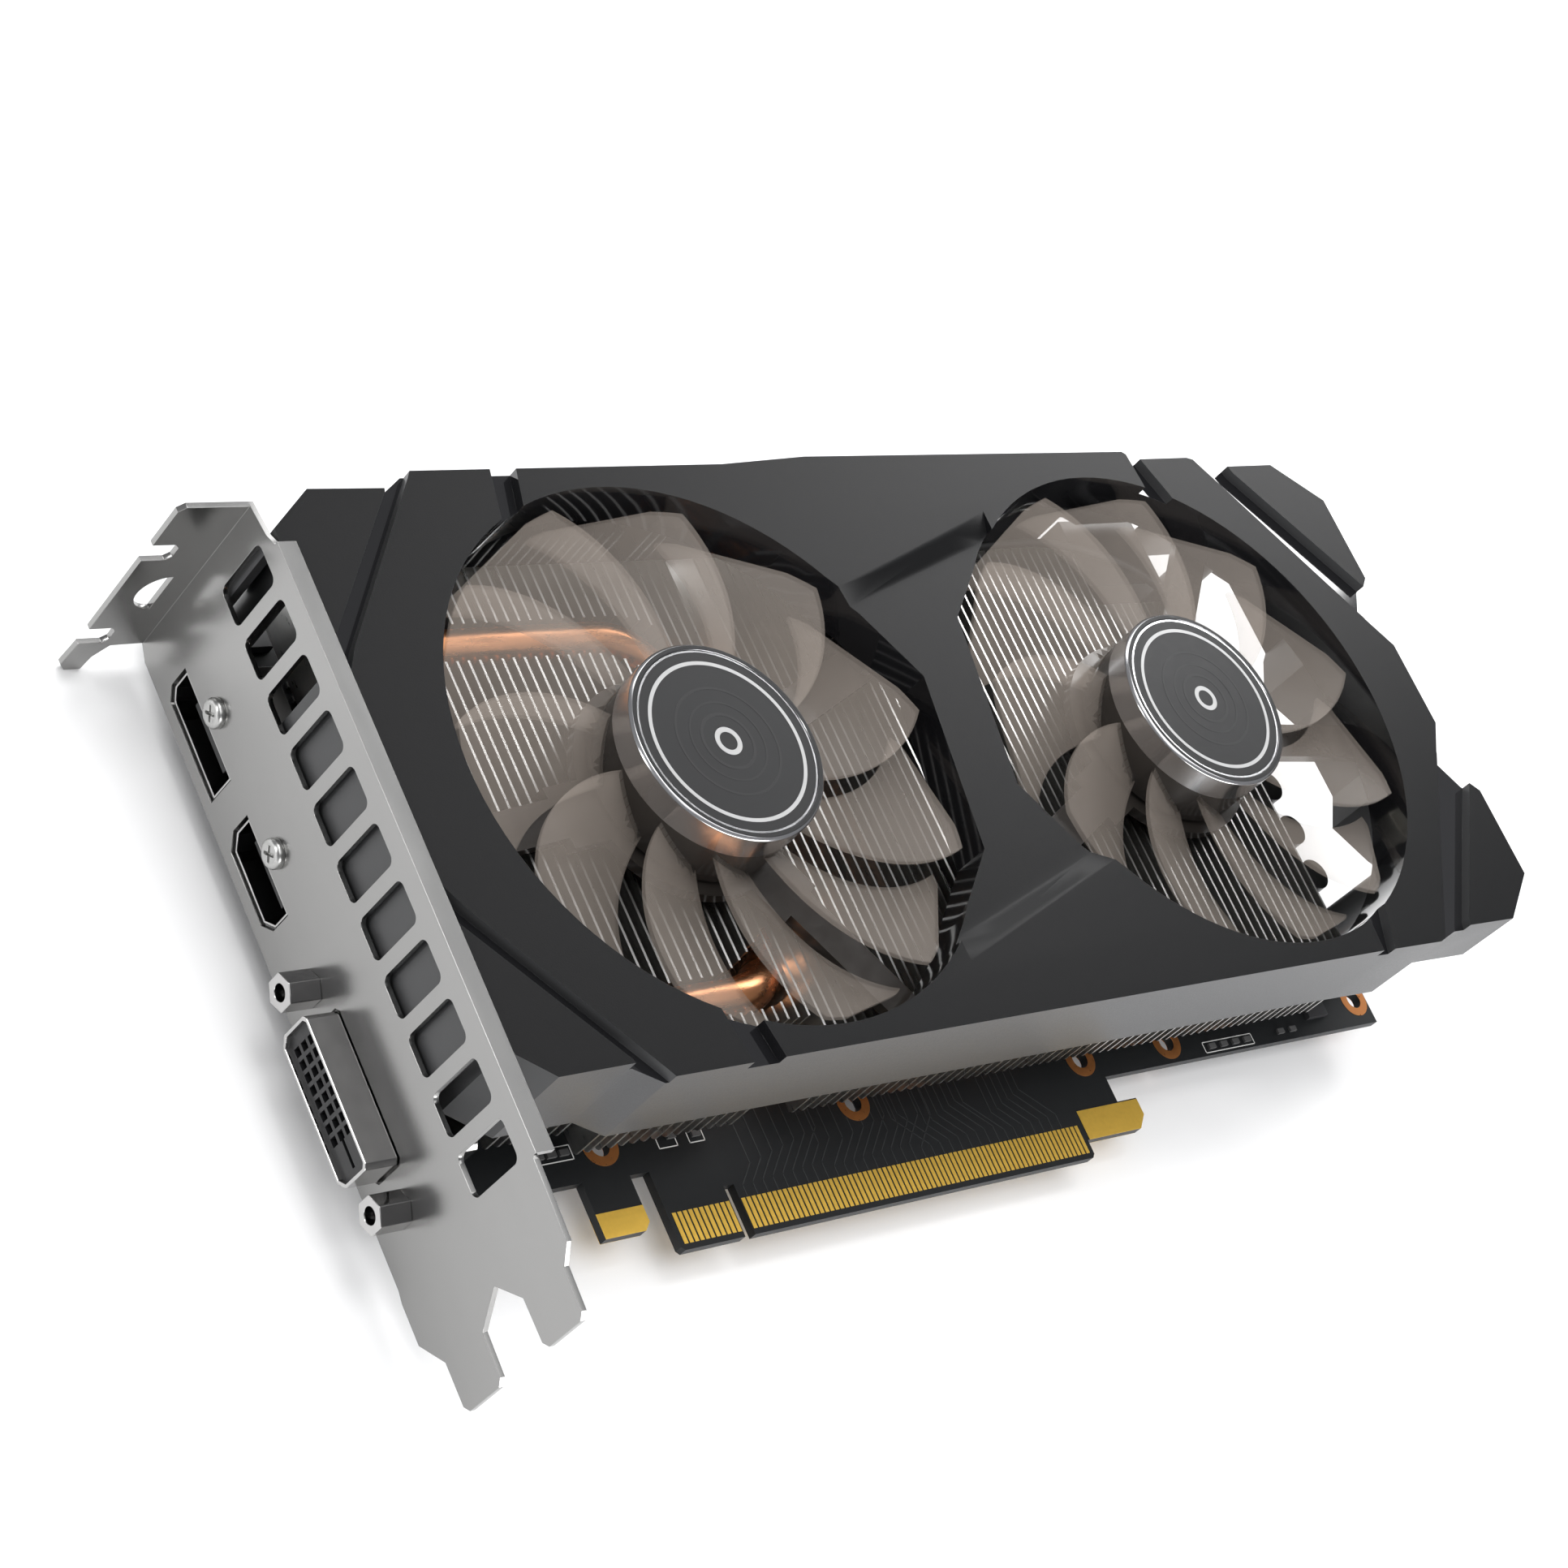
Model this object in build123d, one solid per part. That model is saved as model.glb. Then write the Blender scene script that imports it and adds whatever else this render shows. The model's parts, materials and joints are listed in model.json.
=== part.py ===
from build123d import *
import math
import os

# Dual-fan, dual-slot graphics card, in millimetres.  The card lies on its back:
# +Z points out of the fans, +X runs along the card away from the metal bracket,
# and -Y is the way the edge connector plugs in.
# Origin: centre of the connector's key notch, on the connector's lower edge,
# at the surface of the board that carries the chips.

# ---- driving dimensions -------------------------------------------------
BOARD_T = 1.6            # thickness of the circuit board
BOARD_LEFT, BOARD_RIGHT = -54.5, 153.6
BOARD_LOW, BOARD_TOP = 12.7, 109.0
CONTACT_PITCH = 1.0
SHORT_END, KEY_HALF, LONG_END = -12.15, 0.95, 72.15
HOLE_R = 1.6
MOUNT_HOLES = [(-19.0, 17.5), (29.3, 16.7), (79.3, 16.5), (100.2, 16.5), (150.4, 17.5),
               (-19.0, 104.6), (150.4, 104.6)]

BRACKET_X = -58.0        # outer face of the bracket
SHEET = 0.86             # bracket sheet thickness
BRACKET_IN = BRACKET_X + SHEET
BRACKET_TOP = 104.7
VENT_COUNT, VENT_PITCH, VENT_Y0 = 11, 8.63, 95.8
VENT_H, VENT_Z0, VENT_Z1 = 6.3, 19.8, 31.2
PORT_Y = {"upper": 86.35, "middle": 63.7, "wide": 28.9}

FAN_X = {"left": 2.4, "right": 105.8}
FAN_Y = 60.6
OPENING_R = 44.5
FLANGE_Z = 34.0          # inner face of the bracket's folded flange
HUB_R = 16.2
TIP_R = 42.7
BLADES = 11

FRONT = 33.6             # front surface of the shroud
GROOVE = 1.8             # depth of the recessed channels
WALL = 1.6
SKIRT_LOW = 16.3         # lower edge of the shroud's side walls
TAIL_LOW = 21.0
BACK_LOW = 8.0           # lower edge of the back wall and of the far end wall
RING_LOW = 24.8          # lower edge of the wall round each fan opening

FIN_PITCH, FIN_T = 2.0, 0.4
FIN_LEFT, FIN_RIGHT = -42.0, 130.0
FIN_LOW, FIN_HIGH = 5.0, 19.0
FIN_Y0, FIN_Y1 = 15.0, 104.5
PIPE_R = 3.0
GPU = (35.0, 60.0)

ARM_LOW, ARM_HIGH = 20.8, 22.6
ARM_ANGLES = {"left": (187, 22, 300), "right": (48, 355, 205)}
ARM_TIP_R = 49.4

os.makedirs("parts", exist_ok=True)


# ---- small helpers ------------------------------------------------------
def box(x0, x1, y0, y1, z0, z1):
    """A block given by its two corners."""
    return Pos((x0 + x1) / 2, (y0 + y1) / 2, (z0 + z1) / 2) * Box(x1 - x0, y1 - y0, z1 - z0)


def rod(x, y, z0, z1, r):
    """An upright cylinder."""
    return Pos(x, y, (z0 + z1) / 2) * Cylinder(r, z1 - z0)


def tube(x, y, z0, z1, r_out, r_in):
    """An upright tube."""
    return rod(x, y, z0, z1, r_out) - rod(x, y, z0 - 1, z1 + 1, r_in)


def rod_x(x0, x1, y, z, r):
    """A cylinder along X."""
    return Pos((x0 + x1) / 2, y, z) * Rot(0, 90, 0) * Cylinder(r, x1 - x0)


def plate(points, z0, z1):
    """A flat plate with the outline `points`, from z0 up to z1."""
    return extrude(Pos(0, 0, z0) * make_face(Polyline(*points, close=True)), z1 - z0)


def side_plate(points, x0, x1):
    """A plate whose outline is given as (y, z) points, from x0 to x1."""
    face = make_face(Polyline(*[(x0, y, z) for y, z in points], close=True))
    return extrude(face, x1 - x0, dir=(1, 0, 0))


def mirror_y(points):
    """The same outline reflected about the line through both fans."""
    return [(x, 2 * FAN_Y - y) for x, y in reversed(points)]


def turned(points):
    """The same outline turned half a turn about the middle between the fans."""
    cx = (FAN_X["left"] + FAN_X["right"]) / 2
    return [(2 * cx - x, 2 * FAN_Y - y) for x, y in points]


def group(solids):
    """Separate solids kept in one node."""
    return Compound(children=list(solids))


def save(shape, node):
    export_step(shape, f"parts/{node}.step")


# ---- circuit board ------------------------------------------------------
BOARD_OUTLINE = [
    (BOARD_LEFT, BOARD_LOW), (-24.5, BOARD_LOW), (-24.5, 4.0), (-17.3, 4.0), (-16.1, 5.2),
    (-16.1, 12.4), (SHORT_END - 0.5, 12.4), (SHORT_END - 0.5, 0.6), (SHORT_END, 0),
    (-KEY_HALF, 0), (-KEY_HALF, 8.0), (KEY_HALF, 8.0), (KEY_HALF, 0),
    (LONG_END, 0), (LONG_END + 0.6, 0.6), (LONG_END + 0.6, 3.0), (85.3, 3.0), (87.4, 5.2),
    (87.4, 8.2), (83.0, 8.2), (83.0, BOARD_LOW),
    (BOARD_RIGHT, BOARD_LOW), (BOARD_RIGHT, BOARD_TOP), (BOARD_LEFT, BOARD_TOP),
]
SHROUD_POSTS = [(-49.5, 99.0), (-50.5, 48.5), (147.0, 98.0), (148.0, 30.0)]
SINK_SCREWS = [(GPU[0] + sx * 27, GPU[1] + sy * 27) for sx in (-1, 1) for sy in (-1, 1)]


def circuit_board():
    board = plate(BOARD_OUTLINE, -BOARD_T, 0)
    for x, y in MOUNT_HOLES + SHROUD_POSTS + SINK_SCREWS:
        board -= rod(x, y, -BOARD_T - 1, 1, HOLE_R)
    return board


def edge_contacts():
    """Gold fingers on both faces: 11 before the key and 71 after it."""
    pad_w, pad_t, pad_y0, pad_y1 = 0.7, 0.06, 0.9, 5.7
    places = [-11.5 + i * CONTACT_PITCH for i in range(11)]
    places += [1.5 + i * CONTACT_PITCH for i in range(71)]
    pads = []
    for x in places:
        for z in (0, -BOARD_T - pad_t):
            pads.append(box(x - pad_w / 2, x + pad_w / 2, pad_y0, pad_y1, z, z + pad_t))
    return group(pads)


def gold_ends():
    """Plated ends of the locating tab and of the retention hook, on both faces."""
    tab = [(-24.5, 4.0), (-17.3, 4.0), (-16.1, 5.2), (-16.1, 7.8), (-24.5, 7.8)]
    hook = [(73.2, 3.0), (85.3, 3.0), (87.4, 5.2), (87.4, 8.0), (73.2, 8.0)]
    t = 0.06
    return group(plate(p, z, z + t) for p in (tab, hook) for z in (0, -BOARD_T - t))


def hole_rings():
    """Bare copper rings round the mounting holes, on both faces."""
    t = 0.06
    return group(tube(x, y, z, z + t, 3.1, HOLE_R)
                 for x, y in MOUNT_HOLES for z in (0, -BOARD_T - t))


# ---- bracket ------------------------------------------------------------
def bracket():
    front = [(4.0, -2.4), (2.2, -2.8), (-3.8, -2.8), (-8.0, 1.2), (-14.3, 1.2), (-15.3, 2.2),
             (-15.3, 9.7), (-14.3, 10.7), (-8.1, 10.9), (-4.3, 16.8), (-8.1, 21.3),
             (-14.3, 21.4), (-15.3, 22.4), (-15.3, 30.0), (-14.3, 31.0), (-8.4, 31.2),
             (-6.0, 33.6), (5.1, FLANGE_Z), (97.0, FLANGE_Z), (98.7, 33.2), (BRACKET_TOP, 32.4),
             (BRACKET_TOP, -1.0), (101.5, -2.4)]
    body = side_plate(front, BRACKET_X, BRACKET_IN)
    body += box(BRACKET_X, -55.0, 5.6, 96.6, FLANGE_Z, FLANGE_Z + SHEET)
    lip = [(BRACKET_X, 32.4), (-67.6, 32.4), (-68.6, 31.4), (-68.6, 23.6), (-65.0, 23.6),
           (-64.2, 22.8), (-64.2, 20.8), (-65.0, 20.0), (-68.6, 20.0), (-68.6, 3.3),
           (-65.0, 3.3), (-64.2, 2.5), (-64.2, 0.5), (-65.0, -0.3), (-68.6, -0.3),
           (-69.0, -5.5), (-67.8, -7.0), (-65.2, -7.0), (-64.8, -4.0), (-63.2, -1.2),
           (BRACKET_X, -1.0)]
    face = make_face(Polyline(*[(x, BRACKET_TOP - SHEET, z) for x, z in lip], close=True))
    body += extrude(face, SHEET, dir=(0, 1, 0))
    # D-shaped hole in the lip
    hole = Pos(-61.4, BRACKET_TOP, 11.8) * Rot(90, 0, 0) * Cylinder(3.9, 4)
    body -= hole & box(-66, -61.4, 100, 108, 5, 20)
    for k in range(VENT_COUNT):
        y = VENT_Y0 - k * VENT_PITCH
        slot = box(BRACKET_X - 1, BRACKET_IN + 1, y - VENT_H / 2, y + VENT_H / 2, VENT_Z0, VENT_Z1)
        body -= fillet(slot.edges().filter_by(Axis.X), 1.2)
    body -= side_plate(upper_port_outline(0.35), BRACKET_X - 1, BRACKET_IN + 1)
    body -= side_plate(middle_port_outline(0.35), BRACKET_X - 1, BRACKET_IN + 1)
    body -= side_plate(wide_port_outline(0.3), BRACKET_X - 1, BRACKET_IN + 1)
    for y, z in PORT_SCREWS + WIDE_POSTS:
        body -= rod_x(BRACKET_X - 1, BRACKET_IN + 1, y, z, 1.6)
    return body


PORT_SCREWS = [(86.3, 8.6), (63.9, 8.9)]
WIDE_POSTS = [(PORT_Y["wide"] + 16.5, 4.8), (PORT_Y["wide"] - 16.5, 4.8)]


def upper_port_outline(grow=0.0):
    """Socket mouth with one cut corner; `grow` widens it all round."""
    y, g = PORT_Y["upper"], grow
    return [(y - 8.7 - g, 0.0 - g), (y + 7.1 + g / 2, 0.0 - g), (y + 8.7 + g, 1.6 - g / 2),
            (y + 8.7 + g, 5.4 + g), (y - 8.7 - g, 5.4 + g)]


def middle_port_outline(grow=0.0):
    """Socket mouth with both lower corners cut."""
    y, g = PORT_Y["middle"], grow
    return [(y - 5.6 - g / 2, 0.0 - g), (y + 5.6 + g / 2, 0.0 - g), (y + 7.5 + g, 2.0 - g / 2),
            (y + 7.5 + g, 5.8 + g), (y - 7.5 - g, 5.8 + g), (y - 7.5 - g, 2.0 - g / 2)]


def wide_port_outline(grow=0.0):
    """Wide shell with its corners cut."""
    y, g = PORT_Y["wide"], grow
    w, c = 11.4 + g, 1.4 + g / 2
    z0, z1 = 1.1 - g, 8.5 + g
    return [(y - w + c, z0), (y + w - c, z0), (y + w, z0 + c), (y + w, z1 - c / 2),
            (y + w - c / 2, z1), (y - w + c / 2, z1), (y - w, z1 - c / 2), (y - w, z0 + c)]


def socket_shell(outline, x0, x1, sheet):
    """A folded sheet-metal tube, open at the mouth, closed at the back."""
    shell = side_plate(outline(0.0), x0, x1)
    return shell - side_plate(outline(-sheet), x0 - 1, x1 - sheet)


def port_ear(y, z_low, screw):
    """Upright ear on a socket that its bracket screw threads into."""
    sy, sz = screw
    ear = box(BRACKET_IN, BRACKET_IN + 1.4, y - 3.4, y + 3.4, z_low, sz + 2.4)
    return ear - rod_x(BRACKET_IN - 1, BRACKET_IN + 3, sy, sz, 1.25)


def video_port_upper_shell():
    shell = socket_shell(upper_port_outline, BRACKET_IN - 0.5, -43.5, 0.35)
    return shell + port_ear(PORT_SCREWS[0][0], 5.3, PORT_SCREWS[0])


def video_port_upper_insert():
    y = PORT_Y["upper"]
    back = side_plate(upper_port_outline(-0.35), -46.5, -43.85)
    tongue = box(-56.2, -46.5, y - 6.0, y + 5.0, 2.3, 3.5)
    return back + tongue


def video_port_middle_shell():
    shell = socket_shell(middle_port_outline, BRACKET_IN - 0.5, -44.5, 0.35)
    return shell + port_ear(PORT_SCREWS[1][0], 5.7, PORT_SCREWS[1])


def video_port_middle_insert():
    y = PORT_Y["middle"]
    back = side_plate(middle_port_outline(-0.35), -47.0, -44.85)
    tongue = box(-56.2, -47.0, y - 5.2, y + 5.2, 3.0, 4.1)
    return back + tongue


WIDE_FACE = BRACKET_X - 5.2


def video_port_wide_shell():
    shell = side_plate(wide_port_outline(), WIDE_FACE, -45.0) - side_plate(wide_port_outline(-0.5), -80, -46)
    y = PORT_Y["wide"]
    flange = box(BRACKET_IN, BRACKET_IN + 1.2, y - 20, y + 20, 0.1, 10.2)
    flange -= side_plate(wide_port_outline(-0.5), -80, -40)
    for py, pz in WIDE_POSTS:
        flange -= rod_x(-60, -50, py, pz, 1.45)
    return shell + flange


def video_port_wide_insert():
    """Insulator block with 24 square contact holes and the flat ground slot."""
    y, z = PORT_Y["wide"], 4.8
    block = side_plate(wide_port_outline(-0.5), WIDE_FACE + 0.8, -46.0)
    for col in range(8):
        for row in (-1, 0, 1):
            cy, cz = y + 8.5 - 1.905 * col, z + 1.905 * row
            block -= box(WIDE_FACE, WIDE_FACE + 4.0, cy - 0.65, cy + 0.65, cz - 0.65, cz + 0.65)
    return block - box(WIDE_FACE, WIDE_FACE + 4.0, y - 9.6, y - 5.4, z - 0.3, z + 0.3)


def video_port_wide_posts():
    """Two hexagonal jack posts with a threaded socket in the outer end."""
    posts = []
    for y, z in WIDE_POSTS:
        hexagon = Plane(origin=(BRACKET_X, y, z), z_dir=(-1, 0, 0)) * RegularPolygon(2.75, 6)
        post = extrude(hexagon, 5.0) + rod_x(BRACKET_X, BRACKET_IN + 3.0, y, z, 1.45)
        posts.append(post - rod_x(BRACKET_X - 6, BRACKET_X - 0.6, y, z, 1.25))
    return group(posts)


def bracket_screws():
    """Two cross-head screws that pull the bracket onto the sockets."""
    screws = []
    for y, z in PORT_SCREWS:
        x0 = BRACKET_X
        head = rod_x(x0 - 1.2, x0, y, z, 2.2)
        head = fillet(head.edges().group_by(Axis.X)[0], 0.7)
        for a in (45, 135):
            slot = Pos(x0 - 1.1, y, z) * Rot(a, 0, 0) * Box(1.2, 0.5, 2.4)
            head -= slot
        screws.append(head + rod_x(x0, BRACKET_IN + 2.6, y, z, 1.25))
    return group(screws)


# ---- shroud -------------------------------------------------------------
SHROUD_OUTLINE = [
    (-56.6, 21.7), (-48.8, 15.5), (-35.5, 15.6), (-31.2, 12.8), (120.0, 12.6),
    (134.5, 12.4), (141.6, 14.4), (156.0, 14.2), (165.5, 22.0), (165.5, 38.6),
    (163.4, 40.6), (159.3, 46.9), (163.4, 52.6), (163.4, 68.6), (159.3, 74.3),
    (163.4, 80.6), (165.5, 82.6), (165.5, 99.2), (156.0, 107.0), (141.6, 106.8),
    (134.5, 108.8), (120.9, 108.6), (118.6, 110.2), (45.0, 110.0), (27.5, 108.8),
    (-31.2, 108.4), (-35.5, 105.6), (-48.8, 105.7), (-56.6, 99.5),
]
TAIL_X = 137.0
LEFT_CHANNEL = [(-36.2, 105.0), (-34.8, 109.5), (-29.8, 109.5), (-31.4, 107.2),
                (-51.8, 80.6), (-57.5, 71.2), (-57.5, 78.0)]
RIGHT_CHANNEL = [(134.9, 109.9), (143.0, 109.9), (144.7, 105.4), (164.4, 80.0),
                 (164.4, 72.0), (159.4, 74.3)]
TOP_LEFT_GROOVE = [(-16.0, 111.0), (-11.2, 111.0), (-13.8, 101.0), (-16.4, 96.0), (-18.8, 98.0)]
LOW_LEFT_GROOVE = [(-18.6, 22.5), (-16.4, 10.0), (-10.6, 10.0), (-12.6, 21.0)]
TOP_RIGHT_GROOVE = [(119.2, 112.0), (120.3, 98.0), (127.0, 96.5), (122.2, 109.0), (122.0, 112.0)]


def opening(fan, grow=0.0):
    """Fan opening: a circle whose side towards the middle is widened by straight cuts."""
    s = 1 if fan == "left" else -1
    x, y = FAN_X[fan], FAN_Y
    cuts = [(0, 0), (30.0, 32.9), (40.4, 21.6), (47.4, 10.0), (42.7, -20.1), (34.0, -28.7)]
    cheek = make_face(Polyline(*[(x + s * a, y + s * b) for a, b in cuts], close=True))
    shape = Pos(x, y) * Circle(OPENING_R) + cheek
    return offset(shape, grow, kind=Kind.INTERSECTION) if grow else shape


def waist_tool():
    """Tool that sinks the waisted middle panel and leaves two sloped facets beside it."""
    low = [(30.0, 80.1), (78.2, 94.6)]
    high = [(30.0, 83.2), (78.2, 99.0)]
    floor_face = make_face(Polyline(*(low + turned(low)), close=True))
    top_face = make_face(Polyline(*(high + turned(high)), close=True))
    return loft([Pos(0, 0, FRONT - GROOVE) * floor_face, Pos(0, 0, FRONT + 0.01) * top_face],
                ruled=True)


def shroud():
    outline = make_face(Polyline(*SHROUD_OUTLINE, close=True))
    body = extrude(Pos(0, 0, BACK_LOW) * outline, FRONT - BACK_LOW)
    inner = offset(outline, -WALL, kind=Kind.INTERSECTION)
    roof = FRONT - GROOVE - WALL
    body -= extrude(Pos(0, 0, BACK_LOW - 1) * inner, roof - BACK_LOW + 1)
    # only the back wall and the far end wall reach low, with a gap for the power socket
    body -= box(-60, 155, 0, 100, BACK_LOW - 1, SKIRT_LOW)
    body -= box(-60, -31.2, 0, 120, BACK_LOW - 1, SKIRT_LOW)
    body -= box(POWER[0] - 1.5, POWER[1] + 1.5, 100, 120, BACK_LOW - 1, SKIRT_LOW)
    # the tail and the bracket end are cut shorter, and the bracket end stays open for air
    body -= box(TAIL_X, 170, 0, 30, BACK_LOW - 1, TAIL_LOW)
    body -= box(-60, -54.9, 78.0, 98.0, SKIRT_LOW - 1, roof)
    body -= box(-60, -54.9, 4.0, 24.0, SKIRT_LOW - 1, roof)
    for fan in FAN_X:
        body += extrude(Pos(0, 0, RING_LOW) * opening(fan, WALL), roof - RING_LOW)
        body -= extrude(Pos(0, 0, RING_LOW - 2) * opening(fan), FRONT)
    floor = FRONT - GROOVE
    for pts in (LEFT_CHANNEL, mirror_y(LEFT_CHANNEL), RIGHT_CHANNEL, mirror_y(RIGHT_CHANNEL),
                TOP_LEFT_GROOVE, LOW_LEFT_GROOVE, TOP_RIGHT_GROOVE, mirror_y(TOP_RIGHT_GROOVE)):
        body -= plate(pts, floor, FRONT + 1)
    body -= waist_tool()
    for x, y in SHROUD_POSTS:
        body += tube(x, y, 0.2, roof + 0.2, 2.8, 1.1)
    for x, y in fan_screw_places():
        body += rod(x, y, ARM_HIGH, roof + 0.2, 2.4) - rod(x, y, ARM_HIGH - 1, 28.5, 0.9)
    return body


def shroud_screws():
    """Four screws through the board into the shroud's posts."""
    return group(rod(x, y, -BOARD_T - 1.6, -BOARD_T, 2.6) + rod(x, y, -BOARD_T, 8.0, 1.1)
                 for x, y in SHROUD_POSTS)


# ---- heatsink -----------------------------------------------------------
def pipe_path(points, radii):
    return FilletPolyline(*points, radius=radii)


UPPER_PIPE = [(-41.0, 89.0, 17.0), (8.0, 89.0, 17.0), (23.0, 78.5, 11.5), (34.0, 66.0, 8.0),
              (34.0, 46.0, 8.0)]
LOWER_PIPE = [(-41.0, 29.2, 17.0), (3.0, 29.2, 17.0), (15.0, 37.0, 11.0), (25.0, 47.0, 8.0),
              (25.0, 64.0, 8.0)]
UPPER_RADII, LOWER_RADII = [14.0, 20.0, 13.0], [13.0, 18.0, 12.0]


def heat_pipe(points, radii):
    path = pipe_path(points, radii)
    start = Plane(origin=path @ 0, z_dir=path % 0)
    return sweep(start * Circle(PIPE_R), path=path)


def fin_outline(x):
    """Outline (y, z) of the fin at x: shorter beside the screw gap and the power socket."""
    y0, y1 = FIN_Y0, FIN_Y1
    if x < -29:
        y0, y1 = 18.2, 103.2
    if 0 < x < 12:
        y0 = 24.0
    if x > 112:
        y1 = 92.0
    if 22 < x < 27:
        y1 = 86.0
    return [(y0, FIN_LOW + 0.4), (y0 + 0.4, FIN_LOW), (y1, FIN_LOW), (y1, FIN_HIGH - 5),
            (y1 - 3.0, FIN_HIGH), (y0, FIN_HIGH)]


def pipe_slot(path, x):
    """Slot that lets the heat pipe on `path` through the fin at x, or None."""
    near = [path @ (i / 240) for i in range(241)]
    near = [p for p in near if abs(p.X - x - FIN_T / 2) < PIPE_R + 0.6]
    if not near:
        return None
    m = PIPE_R + 0.05
    ys, zs = [p.Y for p in near], [p.Z for p in near]
    return box(x - 1, x + 1, min(ys) - m, max(ys) + m, min(zs) - m, max(zs) + m)


def fins():
    """Stack of thin aluminium plates, slotted for the heat pipes and the screws."""
    paths = [pipe_path(UPPER_PIPE, UPPER_RADII), pipe_path(LOWER_PIPE, LOWER_RADII)]
    stack = []
    count = int((FIN_RIGHT - FIN_LEFT) / FIN_PITCH)
    for i in range(count + 1):
        x = FIN_LEFT + i * FIN_PITCH
        fin = side_plate(fin_outline(x), x, x + FIN_T)
        for path in paths:
            slot = pipe_slot(path, x)
            if slot:
                fin -= slot
        for sx, sy in SINK_SCREWS:
            if abs(sx - x) < 3.4:
                fin -= box(x - 1, x + 1, sy - 3.2, sy + 3.2, FIN_LOW - 1, FIN_LOW + 2.5)
        stack += list(fin.solids())
    return group(stack)


def sink_base():
    x, y = GPU
    base = box(x - 40, x + 40, y - 38, y + 38, 2.0, FIN_LOW)
    for sx, sy in SINK_SCREWS:
        base -= rod(sx, sy, 0, 8, 1.6)
    return base


def sink_screws():
    """Four spring screws, heads on the back of the board."""
    return group(rod(x, y, -5.4, -3.8, 3.0) + rod(x, y, -3.8, FIN_LOW, 1.35)
                 for x, y in SINK_SCREWS)


def sink_springs():
    """Short coil springs round the screws, behind the board."""
    springs = []
    for x, y in SINK_SCREWS:
        helix = Pos(x, y, -3.55) * Helix(pitch=0.8, height=1.65, radius=2.2)
        wire = Plane(origin=helix @ 0, z_dir=helix % 0) * Circle(0.25)
        springs.append(sweep(wire, path=helix, is_frenet=True))
    return group(springs)


# ---- chips and parts on the board --------------------------------------
def gpu_substrate():
    x, y = GPU
    return box(x - 16.5, x + 16.5, y - 16.5, y + 16.5, 0.0, 1.25)


def gpu_die():
    x, y = GPU
    return box(x - 7, x + 7, y - 9, y + 9, 1.25, 2.0)


MEMORY = [(GPU[0] + dx, GPU[1] + dy) for dx, dy in
          ((-28, -12), (-28, 12), (0, 29), (28, 12), (28, -12), (0, -29))]


def memory_chips():
    return group(box(x - 6, x + 6, y - 7, y + 7, 0.0, 1.1) for x, y in MEMORY)


def thermal_pads():
    return group(box(x - 5.5, x + 5.5, y - 6.5, y + 6.5, 1.1, 2.0) for x, y in MEMORY)


CHOKES = [(137.5, 38.0 + 9.0 * j) for j in range(4)]
CAPS = [(147.5, 39.0 + 9.0 * j) for j in range(4)]


def chokes():
    return group(fillet(box(x - 3.3, x + 3.3, y - 3.4, y + 3.4, 0.0, 5.2)
                        .edges().filter_by(Axis.Z), 0.8) for x, y in CHOKES)


def capacitors():
    """Upright polymer capacitors with a black base."""
    return group(rod(x, y, 0.0, 0.9, 3.2) + rod(x, y, 0.9, 7.4, 2.9) for x, y in CAPS)


def mosfets():
    places = [(140.0, 27.0), (138.0, 88.0), (146.0, 88.0), (138.5, 18.5)]
    return group(box(x - 2.5, x + 2.5, y - 3.0, y + 3.0, 0.0, 1.0) for x, y in places)


def board_parts():
    """Small resistors and capacitors in short rows."""
    rows = [(-10.0, 20.5, 3, 2.6, 0), (-6.5, 17.0, 2, 0, 2.6), (-2.0, 16.6, 2, 0, 2.6),
            (-30.0, 17.5, 3, 2.2, 0), (-40.5, 84.0, 3, 0, 2.4), (-38.0, 90.0, 4, 0, 2.4),
            (-42.5, 44.0, 3, 0, 2.6), (110.0, 14.2, 4, 3.0, 0), (144.5, 21.0, 2, 2.6, 0),
            (128.0, 14.4, 2, 3.2, 0)]
    chips = []
    for x, y, count, dx, dy in rows:
        for i in range(count):
            px, py = x + i * dx, y + i * dy
            chips.append(box(px - 0.8, px + 0.8, py - 0.45, py + 0.45, 0.0, 0.5))
    return group(chips)


def bios_chip():
    return box(-44.0, -39.0, 100.6, 105.6, 0.0, 1.6)


POWER = (118.9, 137.5, 95.5, 109.0)
POWER_PITCH = 4.2
POWER_WAYS = [(128.2 + POWER_PITCH * (i - 1.5), z) for i in range(4) for z in (5.2, 9.4)]


def power_socket():
    """Eight-way power socket, mouth towards +Y."""
    x0, x1, y0, y1 = POWER
    block = box(x0, x1, y0, y1, 0.0, 14.5)
    for x, z in POWER_WAYS:
        block -= box(x - 1.8, x + 1.8, y0 + 3.0, y1 + 1, z - 1.8, z + 1.8)
    return block


def power_pins():
    _, _, y0, y1 = POWER
    return group(box(x - 0.5, x + 0.5, y0 + 3.0, y1 - 2.0, z - 0.5, z + 0.5)
                 for x, z in POWER_WAYS)


HEADER = (141.5, 78.0)


def fan_header():
    """Board header, mouth upwards, that the fans' shared plug sits in."""
    x, y = HEADER
    shell = box(x - 5.5, x + 5.5, y - 3.0, y + 3.0, 0.0, 4.2)
    return shell - box(x - 4.8, x + 4.8, y - 2.3, y + 2.3, 1.0, 5.0)


def fan_plug():
    x, y = HEADER
    return box(x - 4.6, x + 4.6, y - 2.1, y + 2.1, 1.1, 6.6)


# ---- fans ---------------------------------------------------------------
def fan_screw_places():
    return [(FAN_X[f] + ARM_TIP_R * math.cos(math.radians(a)),
             FAN_Y + ARM_TIP_R * math.sin(math.radians(a))) for f in FAN_X for a in ARM_ANGLES[f]]


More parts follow.
